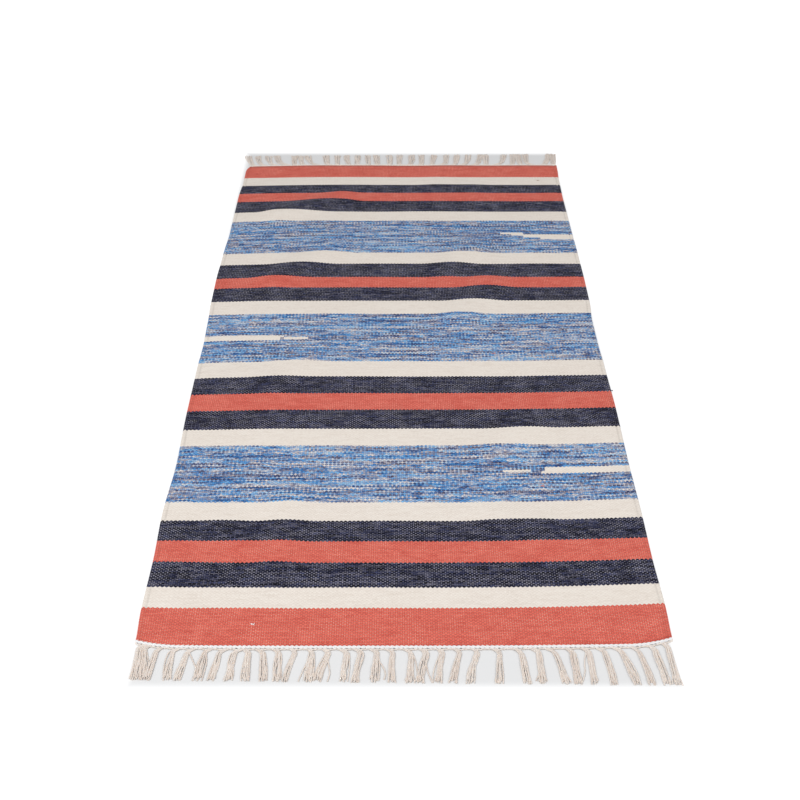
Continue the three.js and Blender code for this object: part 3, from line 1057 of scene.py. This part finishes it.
@dataclass
class WovenWeb:
    """The striped web: stripes meet in a row of teeth, one to each float of the plain weave.

    Attributes:
        drape: how the web lies.
        warps: how many warps cross the web.
        picks: how many picks of weft lie along it.
        thickness: from the underside to the top.
        span: most picks between two rows of the mesh.
        tooth: how far a stripe's teeth reach into the next stripe, in picks.
        bead: how much higher than the rest the first warps in from each selvedge lie.
        bulge: how far the selvedge's edge rounds out.
        bulge_height: share of the thickness at which it does.
        cockle: height of the slow rise and fall of hand-beaten cloth.
        waves: how many waves add up to it.
        wave_across: a wave's largest turn from one warp to the next, in radians.
        wave_along: its least and largest turn from one pick to the next.
        calm: warps over which it dies away towards a selvedge.
        seed: seed of the unevenness.
    """

    drape: Drape
    warps: int = 228
    picks: int = 560
    thickness: float = 3.4 * MM
    span: int = 4
    tooth: float = 0.38
    bead: tuple[float, ...] = (-1.1 * MM, 0.4 * MM, -0.9 * MM)
    bulge: float = 0.4 * MM
    bulge_height: float = 0.42
    cockle: float = 0.3 * MM
    waves: int = 14
    wave_across: float = 0.14
    wave_along: tuple[float, float] = (0.02, 0.14)
    calm: int = 8
    seed: int = 11

    def stripe_ends(self) -> np.ndarray:
        """Returns how far along the warp each stripe ends."""
        return np.cumsum([stripe.width for stripe in STRIPES]) * MM

    def pick_before(self, along: float) -> int:
        """Returns the last pick that lies before a distance along the warp."""
        return round(along / self.drape.length * self.picks - 0.5)

    def mesh_rows(self) -> list[np.ndarray]:
        """Lays out the mesh's rows: toothed ones where the yarn changes, and straight ones between them.

        Returns:
            The pick that each row has at every warp.
        """
        changes = {self.pick_before(along) for along in self.stripe_ends()[:-1]}
        changes |= {self.pick_before(along * MM) for inlay in INLAYS for along in (inlay.low, inlay.high)}
        stops = [0.0, *(pick + 0.5 for pick in sorted(changes)), float(self.picks)]
        warp = np.arange(self.warps + 1)
        rows = []
        for low, high in zip(stops, stops[1:]):
            teeth = np.where((warp + math.floor(low)) % 2 == 0, self.tooth, -self.tooth) if low > 0 else 0.0
            rows.append(np.full(self.warps + 1, low) + teeth)
            count = math.ceil((high - low) / self.span)
            rows += [np.full(self.warps + 1, low + (high - low) * j / count) for j in range(1, count)]
        rows.append(np.full(self.warps + 1, float(self.picks)))
        return rows

    def yarns(self, warp: np.ndarray, pick: np.ndarray) -> np.ndarray:
        """Finds which yarn covers each place.

        Args:
            warp: places across, counted in warps.
            pick: places along, counted in picks.

        Returns:
            Each place's yarn, as its number.
        """
        along = pick / self.picks * self.drape.length
        stripe = np.minimum(np.searchsorted(self.stripe_ends(), along, side="right"), len(STRIPES) - 1)
        yarn = np.array([stripe.yarn.value for stripe in STRIPES])[stripe]
        across = (2 * warp / self.warps - 1) * self.drape.width / 2
        for inlay in INLAYS:
            reach = self.drape.width / 2 - inlay.selvedge.value * across
            inside = (reach >= inlay.start * MM) & (reach < inlay.stop * MM)
            inside &= (along >= inlay.low * MM) & (along < inlay.high * MM)
            yarn = np.where(inside, Yarn.CREAM.value, yarn)
        return yarn

    def unevenness(self, warp: np.ndarray, pick: np.ndarray) -> np.ndarray:
        """Finds the slow rise and fall of hand-beaten cloth.

        Args:
            warp: places across, counted in warps.
            pick: places along, counted in picks.

        Returns:
            Heights round zero.
        """
        rng = np.random.default_rng(self.seed)
        height = np.zeros(warp.shape)
        for _ in range(self.waves):
            across = rng.uniform(-self.wave_across, self.wave_across)
            along = rng.uniform(*self.wave_along)
            height += np.sin(across * warp + along * pick + rng.uniform(0, math.tau))
        return self.cockle * height / self.waves**0.5

    def build(self) -> bpy.types.Mesh:
        """Builds the web as one closed mesh, woven alike above and below.

        Returns:
            The new mesh, with each face's yarn and, at each point, its warp, its pick and the warps to the
            nearest selvedge.
        """
        pick = np.array(self.mesh_rows())
        warp = np.broadcast_to(np.arange(self.warps + 1.0), pick.shape)
        x, y = self.drape.plan(2 * warp / self.warps - 1, pick / self.picks * self.drape.length)
        lift = self.drape.lift(x, y)
        inset = np.minimum(warp, self.warps - warp).astype(int)
        bead = np.array(self.bead + (0.0,))[np.minimum(inset, len(self.bead))]
        top = lift + self.thickness + bead + self.unevenness(warp, pick) * np.minimum(1, inset / self.calm)
        number = np.arange(pick.size).reshape(pick.shape)
        ring = np.concatenate([number[0, :-1], number[:-1, -1], number[-1, :0:-1], number[:0:-1, 0]])
        flat = np.column_stack([x.ravel(), y.ravel()])
        out = np.where(inset.ravel()[ring] == 0, np.sign(flat[ring, 0]) * self.bulge, 0.0)
        height = lift.ravel()[ring] + self.bulge_height * self.thickness
        middle = np.column_stack([flat[ring, 0] + out, flat[ring, 1], height])
        faces = [np.column_stack([flat, level.ravel()]) for level in (top, lift)]
        points = np.concatenate([*faces, middle])

        low, right = number[:-1, :-1].ravel(), number[:-1, 1:].ravel()
        far, corner = number[1:, :-1].ravel(), number[1:, 1:].ravel()
        above = np.column_stack([low, right, corner, far])
        below = np.column_stack([low, far, corner, right]) + pick.size
        after = np.roll(ring, -1)
        band = np.arange(len(ring)) + 2 * pick.size
        next_band = np.roll(band, -1)
        upper = np.column_stack([band, next_band, after, ring])
        lower = np.column_stack([ring + pick.size, after + pick.size, next_band, band])
        mesh = bpy.data.meshes.new("web")
        mesh.from_pydata(points.tolist(), [], np.concatenate([above, below, upper, lower]).tolist())

        face_warp = ((warp[:-1, :-1] + warp[1:, 1:]) / 2).ravel()
        face_pick = ((pick[:-1, :-1] + pick[1:, :-1] + pick[:-1, 1:] + pick[1:, 1:]) / 4).ravel()
        yarn = self.yarns(face_warp, face_pick)
        rim = self.yarns(warp.ravel()[ring], (pick.ravel()[ring] + pick.ravel()[after]) / 2)
        slots = np.concatenate([yarn, yarn, rim, rim]).astype(np.int32)
        mesh.polygons.foreach_set("material_index", slots)
        mesh.polygons.foreach_set("use_smooth", np.ones(len(slots), bool))
        counted = np.column_stack([warp.ravel(), pick.ravel(), inset.ravel()])
        places = np.concatenate([counted, counted + (0, 1, 0), counted[ring]]).astype(np.float32)
        mesh.attributes.new(WEAVE_ATTRIBUTE, "FLOAT_VECTOR", "POINT").data.foreach_set("vector", places.ravel())
        mesh.update()
        return mesh

    def make(self, weave: bpy.types.NodeTree, fibres: bpy.types.NodeTree) -> bpy.types.Object:
        """Builds and dresses the web.

        Args:
            weave: the shader group for the weave's cells.
            fibres: the shader group for cotton fibres.

        Returns:
            The web's object.
        """
        mesh = self.build()
        for yarn in Yarn:
            mesh.materials.append(YARN_FINISHES[yarn].material(weave, fibres))
        return new_piece("woven_web", mesh, "striped_cotton_web", "woven_panel")


@dataclass
class StrayFibres:
    """Short fibres of other colours that lie caught on the web.

    Attributes:
        drape: how the web lies.
        rest: their height above the web's underside.
        radius: a fibre bundle's radius.
        length: its length.
        waist: how much narrower it is one way than the other.
        turn: length of one turn of its twist.
        points: points along it.
        wobble: how far it strays from its line.
        bundles: bundles at each place.
        slant: how far a bundle may turn from the weft, in radians.
        scatter: how far it may lie from its place, as a share of its length.
        bend: how much it bends.
        guide_points: points along its guide line.
        seed: seed of the bundles' directions.
    """

    drape: Drape
    rest: float = 3.7 * MM
    radius: float = 0.55 * MM
    length: float = 4.5 * MM
    waist: float = 0.8
    turn: float = 6 * MM
    points: int = 8
    wobble: float = 1.0 * MM
    bundles: int = 3
    slant: float = 0.6
    scatter: float = 0.2
    bend: float = 0.3
    guide_points: int = 6
    seed: int = 3

    def guides(self, fibre: Fibre) -> list[np.ndarray]:
        """Lays out the bundles of one colour.

        Args:
            fibre: the colour.

        Returns:
            The guide line of each bundle.
        """
        rng = np.random.default_rng(self.seed)
        share = np.linspace(-0.5, 0.5, self.guide_points)
        lines = []
        for across, along in STRAY_PLACES[fibre]:
            for angle in rng.uniform(-self.slant, self.slant, self.bundles):
                apart = rng.uniform(-self.scatter, self.scatter)
                x = across * MM + self.length * (share * math.cos(angle) + apart)
                aside = share * math.sin(angle) + self.bend * share**2
                y = along * MM - self.drape.length / 2 + self.length * aside
                lines.append(np.column_stack([x, y, self.drape.lift(x, y) + self.rest]))
        return lines

    def make(self, tree: bpy.types.NodeTree, fibres: bpy.types.NodeTree) -> list[bpy.types.Object]:
        """Builds one piece for each colour.

        Args:
            tree: the plied yarn's geometry tree.
            fibres: the shader group for cotton fibres.

        Returns:
            The pieces.
        """
        pieces = []
        for fibre, finish in FIBRE_FINISHES.items():
            values = {
                "Yarn Radius": self.radius,
                "Ply Waist": self.waist,
                "Turn Length": self.turn,
                "Point Count": self.points,
                "Wobble": self.wobble,
                "Seed": self.seed,
                "Material": finish.material(fibres),
            }
            name = f"{fibre.value}_stray_fibres"
            mesh = grow(name, self.guides(fibre), tree, values)
            pieces.append(new_piece(name, mesh, "striped_cotton_web", "woven_panel"))
        return pieces


@dataclass
class TwinedCord:
    """The white cord twined across one end, which locks the last weft in place.

    Attributes:
        end: which end.
        drape: how the web lies.
        inset: from the last weft to the cord.
        depth: the cord's width along the warp.
        strand_radius: radius of its two strands.
        twist_height: how far they rise and fall.
        turn: length of one turn of the twist.
        spacing: between points along a strand.
    """

    end: End
    drape: Drape
    inset: float = 0.3 * MM
    depth: float = 4.9 * MM
    strand_radius: float = 1.38 * MM
    twist_height: float = 0.7 * MM
    turn: float = 12.3 * MM
    spacing: float = 1.0 * MM

    def make(self, tree: bpy.types.NodeTree, material: bpy.types.Material) -> bpy.types.Object:
        """Builds the cord along its end.

        Args:
            tree: the twist's geometry tree.
            material: the cord's material.

        Returns:
            The cord's object.
        """
        x, y = self.drape.edge(self.end)
        twist_width = self.depth / 2 - self.strand_radius
        height = self.strand_radius + self.twist_height
        outward = self.end.value * (self.inset + self.depth / 2)
        guide = np.column_stack([x, y + outward, np.full_like(x, height)])
        values = {
            "Strand Radius": self.strand_radius,
            "Twist Width": twist_width,
            "Twist Height": self.twist_height,
            "Turn Length": self.turn,
            "Point Spacing": self.spacing,
            "Material": material,
        }
        name = self.end.name.lower()
        mesh = grow(f"{name}_twined_cord", [guide], tree, values)
        return new_piece(f"{name}_twined_cord", mesh, "white_cotton_cord", f"{name}_cord")


@dataclass
class WarpFringe:
    """One end's warps: a ridge where they turn over beyond the cord, and tassels of their loose ends.

    Attributes:
        end: which end.
        drape: how the web lies.
        yarns: yarns in a tassel.
        left_trim: how much shorter the tassels are cut at the left selvedge.
        ridge_inset: from the last weft to the ridge.
        ridge_depth: the ridge's width along the warp.
        ridge_strand: radius of the ridge's two strands.
        ridge_rise: how far the ridge lies above the floor.
        ridge_pull: how far a tassel's root pulls the ridge outwards.
        ridge_reach: how far along the ridge that pull reaches.
        ridge_turn: length of one turn of the ridge's twist.
        ridge_spacing: between points along a strand of the ridge.
        ridge_spans: spans of the ridge's guide line.
        length: the longest yarn, from the ridge to its tip.
        shortfall: how far a tassel's shortest yarn ends before its longest.
        shortfall_power: how much rarer short yarns are than long ones.
        yarn_radius: a yarn's radius.
        yarn_waist: how much narrower it is one way than the other.
        yarn_turn: length of one turn of its twist.
        points: points along it.
        wobble: how far it strays from its line at the tip.
        wave: how widely it waves.
        double_wave: share of that which swings twice on the yarn's way.
        stray_freedom: how many times more widely a stray yarn waves.
        spread: spacing of the yarns at the root and at the tip, in yarn diameters.
        layer_rise: how far the upper layer lies above the lower one, in yarn radii.
        root_rise: how far the root lies above the middle of the ridge.
        tuck: how far the root starts inside the ridge.
        bow: how far a tassel bows out on its way to its tip, as a share of its lean.
        sweep: how far aside a tassel with a curl of one leaves the ridge.
        sweep_range: least and largest share of the sweep that one yarn takes.
        sweep_share: share of that tassel that turns from there into its run.
        sweep_points: points of a yarn's guide line in its sweep.
        run_points: points from there to its tip.
        seed: seed of the yarns' unevenness.
    """

    end: End
    drape: Drape
    yarns: int
    left_trim: float
    ridge_inset: float = 4.4 * MM
    ridge_depth: float = 2.0 * MM
    ridge_strand: float = 0.64 * MM
    ridge_rise: float = 0.4 * MM
    ridge_pull: float = 0.9 * MM
    ridge_reach: float = 4 * MM
    ridge_turn: float = 10.0 * MM
    ridge_spacing: float = 1.0 * MM
    ridge_spans: int = 700
    length: float = 59 * MM
    shortfall: float = 6 * MM
    shortfall_power: float = 1.5
    yarn_radius: float = 0.92 * MM
    yarn_waist: float = 0.84
    yarn_turn: float = 20 * MM
    points: int = 28
    wobble: float = 2.2 * MM
    wave: float = 1.0 * MM
    double_wave: float = 0.6
    stray_freedom: float = 2.5
    spread: tuple[float, float] = (0.56, 0.98)
    layer_rise: float = 0.8
    root_rise: float = 0.5 * MM
    tuck: float = 1.2 * MM
    bow: float = 0.12
    sweep: float = 8.5 * MM
    sweep_range: tuple[float, float] = (0.7, 1.15)
    sweep_share: float = 0.16
    sweep_points: int = 7
    run_points: int = 10
    seed: int = 5

    def tip_line(self) -> float:
        """Returns the distance from the middle of the rug to the longest tips, along the warp."""
        _, y = self.drape.edge(self.end)
        return float(np.abs(y).max()) + self.ridge_inset + self.ridge_depth + self.length

    def yarn(
        self,
        rng: np.random.Generator,
        root: np.ndarray,
        reach: float,
        tassel: Tassel,
        place: tuple[float, int, float],
    ) -> np.ndarray:
        """Lays out one yarn of a tassel.

        Args:
            rng: source of unevenness.
            root: the X and Y of the tassel's root.
            reach: how far the yarn reaches from there.
            tassel: the tassel, with the yarn's own lean.
            place: the yarn's place across the tassel, its layer from 0 below, and how freely it waves.

        Returns:
            The yarn's guide line.
        """
        start = self.sweep_share * abs(tassel.curl)
        run = np.linspace(start, 1, self.run_points)
        share = np.concatenate([np.linspace(0, start, self.sweep_points), run[1:]])
        offset, layer, freedom = place
        spread = 2 * self.yarn_radius * np.interp(share, (0, 1), self.spread) * offset
        swing = tassel.lean * MM * (share + self.bow * np.sin(np.pi * share))
        rooted = np.maximum(0, 1 - share / start) ** 2
        turn_in = tassel.curl * self.sweep * rng.uniform(*self.sweep_range) * rooted
        waves = rng.normal(0, self.wave, 3) * freedom
        loose = waves[0] * share**2 + waves[1] * np.sin(np.pi * share)
        loose += self.double_wave * waves[2] * np.sin(2 * np.pi * share)
        x = root[0] + spread + swing + turn_in + loose
        y = root[1] + self.end.value * (share * reach - self.tuck)
        rest = self.yarn_radius * (1.0 + self.layer_rise * layer)
        lifted = self.ridge_depth / 2 + self.root_rise
        z = rest + (lifted - rest) * rooted
        return np.column_stack([x, y, z])

    def guides(self) -> list[np.ndarray]:
        """Lays out every tassel of the end, in two layers of yarn and with its strays.

        Returns:
            The guide line of each yarn.
        """
        rng = np.random.default_rng(self.seed + self.end.value)
        edge_x, edge_y = self.drape.edge(self.end)
        tip = self.tip_line()
        lower = (self.yarns + 1) // 2
        places = [(j - (lower - 1) / 2, 0, 1.0) for j in range(lower)]
        places += [(j - (self.yarns - lower - 1) / 2, 1, 1.0) for j in range(self.yarns - lower)]
        lines = []
        for tassel in TASSELS[self.end]:
            x = tassel.root * MM
            y = np.interp(x, edge_x, edge_y) + self.end.value * (self.ridge_inset + self.ridge_depth)
            trim = self.left_trim * (0.5 - x / self.drape.width)
            reach = tip - abs(y) - trim
            bundle = [(tassel, place) for place in places]
            loose = (0.0, 0, self.stray_freedom)
            bundle += [(replace(tassel, lean=stray), loose) for stray in tassel.strays]
            for member, place in bundle:
                length = reach - rng.uniform(0, 1) ** self.shortfall_power * self.shortfall
                lines.append(self.yarn(rng, np.array([x, y]), length, member, place))
        return lines

    def make_tassels(self, tree: bpy.types.NodeTree, material: bpy.types.Material) -> bpy.types.Object:
        """Builds all of the end's tassels as one piece.

        Args:
            tree: the plied yarn's geometry tree.
            material: the warp yarn's material.

        Returns:
            The tassels' object.
        """
        values = {
            "Yarn Radius": self.yarn_radius,
            "Ply Waist": self.yarn_waist,
            "Turn Length": self.yarn_turn,
            "Point Count": self.points,
            "Wobble": self.wobble,
            "Seed": self.seed,
            "Material": material,
        }
        name = self.end.name.lower()
        mesh = grow(f"{name}_tassels", self.guides(), tree, values)
        return new_piece(f"{name}_tassels", mesh, "ecru_cotton_warp", f"{name}_fringe")

    def make_ridge(self, tree: bpy.types.NodeTree, material: bpy.types.Material) -> bpy.types.Object:
        """Builds the ridge of turned-over warps.

        Args:
            tree: the twist's geometry tree.
            material: the warp yarn's material.

        Returns:
            The ridge's object.
        """
        x, y = self.drape.edge(self.end, self.ridge_spans)
        twist = self.ridge_depth / 2 - self.ridge_strand
        roots = np.array([tassel.root for tassel in TASSELS[self.end]]) * MM
        pull = self.ridge_pull * np.exp(-(((x[:, None] - roots) / self.ridge_reach) ** 2)).max(axis=1)
        outward = self.end.value * (self.ridge_inset + self.ridge_depth / 2 + pull)
        guide = np.column_stack([x, y + outward, np.full_like(x, self.ridge_depth / 2 + self.ridge_rise)])
        values = {
            "Strand Radius": self.ridge_strand,
            "Twist Width": twist,
            "Twist Height": twist,
            "Turn Length": self.ridge_turn,
            "Point Spacing": self.ridge_spacing,
            "Material": material,
        }
        name = self.end.name.lower()
        mesh = grow(f"{name}_warp_ridge", [guide], tree, values)
        return new_piece(f"{name}_warp_ridge", mesh, "ecru_cotton_warp", f"{name}_fringe")


@dataclass
class Studio:
    """The pale floor, the soft lights and the camera.

    Attributes:
        floor_side: the floor's side.
        floor_colour: its colour.
        floor_painted_glow: how much painted light the floor, which is no lamp, gives off beside the rug and
            away from it.
        floor_clear: how far from the rug's middle, across and along, the glow starts.
        floor_fade: how far from there it reaches its full strength.
        surround: colour and strength of the even light all round.
        lens: the camera's focal length in millimetres.
        camera_place: where the camera stands.
        pitch: how far it looks down, in degrees.
        yaw: how far it looks towards +X.
        roll: how far it is turned about its own axis.
    """

    floor_side: float = 40.0
    floor_colour: Colour = (219, 219, 219)
    floor_painted_glow: tuple[float, float] = (0.0, 0.6)
    floor_clear: tuple[float, float] = (0.335, 0.755)
    floor_fade: float = 0.03
    surround: tuple[tuple[float, float, float, float], float] = ((0.97, 0.98, 1.0, 1.0), 0.56)
    lens: float = 52.65
    camera_place: tuple[float, float, float] = (-0.0112, -1.7151, 1.1638)
    pitch: float = 37.0
    yaw: float = 0.3
    roll: float = 0.2

    def make_floor(self) -> None:
        """Lays the floor."""
        half = self.floor_side / 2
        mesh = bpy.data.meshes.new("studio_floor")
        corners = [(-half, -half, 0.0), (half, -half, 0.0), (half, half, 0.0), (-half, half, 0.0)]
        mesh.from_pydata(corners, [], [(0, 1, 2, 3)])
        material = bpy.data.materials.new("studio_floor")
        material.use_nodes = True
        shader = material.node_tree.nodes["Principled BSDF"]
        shader.inputs["Base Color"].default_value = linear(self.floor_colour)
        shader.inputs["Roughness"].default_value = 0.85
        shader.inputs["Specular IOR Level"].default_value = 0.1
        shader.inputs["Emission Color"].default_value = (1.0, 1.0, 1.0, 1.0)
        graph = Graph(material.node_tree)
        place = graph.add("ShaderNodeSeparateXYZ", {0: graph.add("ShaderNodeTexCoord").outputs["Object"]})
        # Painted light: the floor glows nowhere under the rug and its tassels, and fully a little way beyond
        # them.
        beyond = [
            graph.math("SUBTRACT", graph.math("ABSOLUTE", place.outputs[axis]), clear)
            for axis, clear in enumerate(self.floor_clear)
        ]
        glow = graph.remap(graph.math("MAXIMUM", *beyond), 0.0, self.floor_fade, *self.floor_painted_glow)
        graph.feed(shader.inputs["Emission Strength"], glow)
        mesh.materials.append(material)
        floor = bpy.data.objects.new("studio_floor", mesh)
        bpy.context.scene.collection.objects.link(floor)

    def make_light(self, box: Softbox) -> None:
        """Hangs one soft light that faces the rug.

        Args:
            box: the light.
        """
        lamp = bpy.data.lights.new(box.name, "AREA")
        lamp.size = box.side
        lamp.energy = box.power
        light = bpy.data.objects.new(box.name, lamp)
        light.location = box.place
        light.rotation_euler = (-Vector(box.place)).to_track_quat("-Z", "Y").to_euler()
        bpy.context.scene.collection.objects.link(light)

    def make_lights(self) -> None:
        """Sets the even surrounding light and two soft lights above the near end."""
        world = bpy.data.worlds.new("studio_surround")
        world.use_nodes = True
        background = world.node_tree.nodes["Background"]
        background.inputs["Color"].default_value, background.inputs["Strength"].default_value = self.surround
        bpy.context.scene.world = world
        for box in SOFTBOXES:
            self.make_light(box)

    def make_camera(self) -> None:
        """Sets the camera where the picture was taken from."""
        data = bpy.data.cameras.new("camera")
        data.lens = self.lens
        data.sensor_width = 36.0
        camera = bpy.data.objects.new("camera", data)
        turn = Matrix.Rotation(math.radians(-self.yaw), 4, "Z")
        turn @= Matrix.Rotation(math.radians(90.0 - self.pitch), 4, "X")
        turn @= Matrix.Rotation(math.radians(self.roll), 4, "Z")
        camera.matrix_world = Matrix.Translation(self.camera_place) @ turn
        bpy.context.scene.collection.objects.link(camera)
        bpy.context.scene.camera = camera

    def make(self) -> None:
        """Builds the whole studio."""
        self.make_floor()
        self.make_lights()
        self.make_camera()
        bpy.context.scene.view_settings.view_transform = "Standard"


def main() -> None:
    """Builds the kilim round its frame, piece by piece."""
    logging.basicConfig(level=logging.INFO, format="%(name)s: %(message)s")
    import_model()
    Studio().make()
    drape = Drape()
    weave, fibres = weave_group(streak_group()), fibre_group()
    twist, plied = twist_tree(), plied_yarn_tree()
    ecru = WARP_FINISH.material(fibres)
    web = WovenWeb(drape).make(weave, fibres)
    trims = []
    for end in End:
        trims.append(TwinedCord(end, drape).make(twist, CORD_FINISHES[end].material(fibres)))
        fringe = WarpFringe(end, drape, **FRINGE_SIZES[end])
        trims.append(fringe.make_ridge(twist, ecru))
        trims.append(fringe.make_tassels(plied, ecru))
    trims += StrayFibres(drape).make(plied, fibres)


if __name__ == "__main__":
    main()
